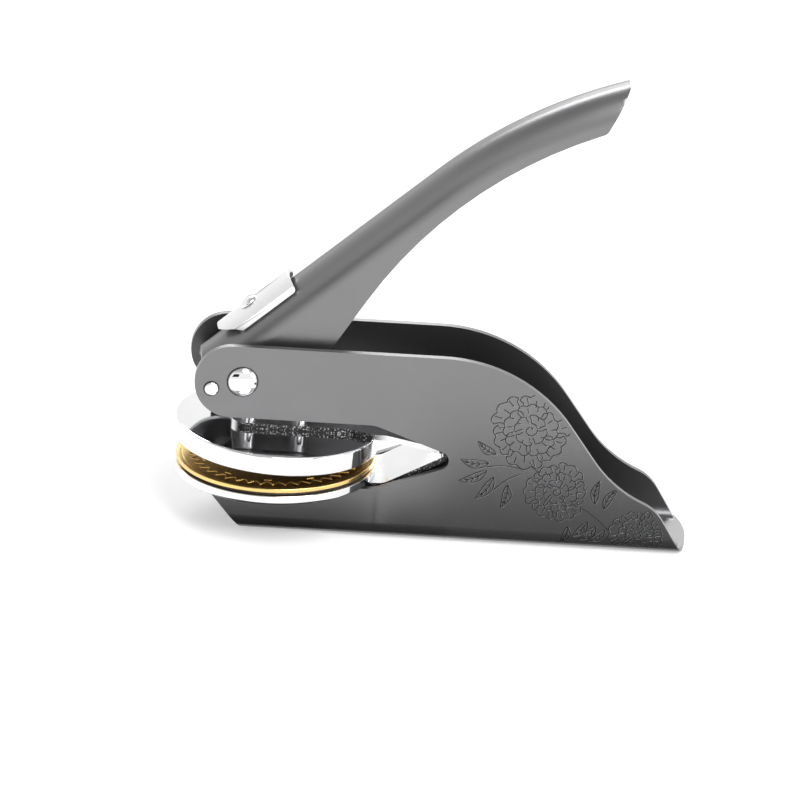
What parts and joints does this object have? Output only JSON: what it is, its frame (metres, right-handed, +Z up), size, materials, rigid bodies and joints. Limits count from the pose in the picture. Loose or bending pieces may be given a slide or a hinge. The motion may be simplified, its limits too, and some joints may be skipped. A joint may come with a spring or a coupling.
{
  "type": "seal embosser",
  "caption": "Hand-held plier-type paper seal embosser: folded steel channel body, spring-returned press lever with sliding lock, and a folded clip holding a round die and counter-die.",
  "frame": {"origin": "centre of the flat underside of the base", "axes": "+X towards the low tail of the base and the lever's grip, -X towards the dies, +Z up from the surface it stands on, +Y across"},
  "size_m": [0.1138, 0.0448, 0.1062],
  "materials": {
    "paint": "matte gunmetal grey",
    "chrome": "bright polished",
    "brass": "polished",
    "steel": "plain",
    "resin": "moulded counter-die"
  },
  "bodies": {
    "base": {"frame": "paint", "pivot_rivet": "chrome", "pivot_bush": "steel", "pivot_spacer_near": "steel", "pivot_spacer_far": "steel", "stop_pin": "chrome", "lower_clip_arm": "chrome", "lower_cup": "chrome", "lower_die": "brass", "lower_rivet": "chrome"},
    "lever": {"handle": "paint"},
    "lock": {"lock_slider": "chrome", "lock_tongue": "steel", "lock_rivet": "chrome"},
    "upper_arm": {"upper_clip_arm": "chrome", "upper_cup": "chrome", "counter_die": "resin", "upper_rivet": "chrome", "post_front_near": "chrome", "post_front_far": "chrome", "post_rear_near": "chrome", "post_rear_far": "chrome", "pressure_plate": "steel"}
  },
  "joints": [
    {"name": "handle_press", "type": "hinge", "parent": "base", "child": "lever", "pos_m": [-0.0505, 0, 0.0352], "axis": [0, 1, 0], "range_deg": [0, 36], "stiffness_Nm_per_rad": 0.15, "springref_deg": -28.65},
    {"name": "clip_flex", "type": "hinge", "parent": "base", "child": "upper_arm", "pos_m": [-0.0054, 0, 0.0198], "axis": [0, -1, 0], "range_deg": [0, 3.4]},
    {"name": "lock_slide", "type": "slide", "parent": "lever", "child": "lock", "axis": [-0.7361, 0, -0.6769], "range_m": [0, 0.004]}
  ],
  "couplings": [
    {"joint": "clip_flex", "follows": "handle_press", "ratio": 0.094444}
  ]
}
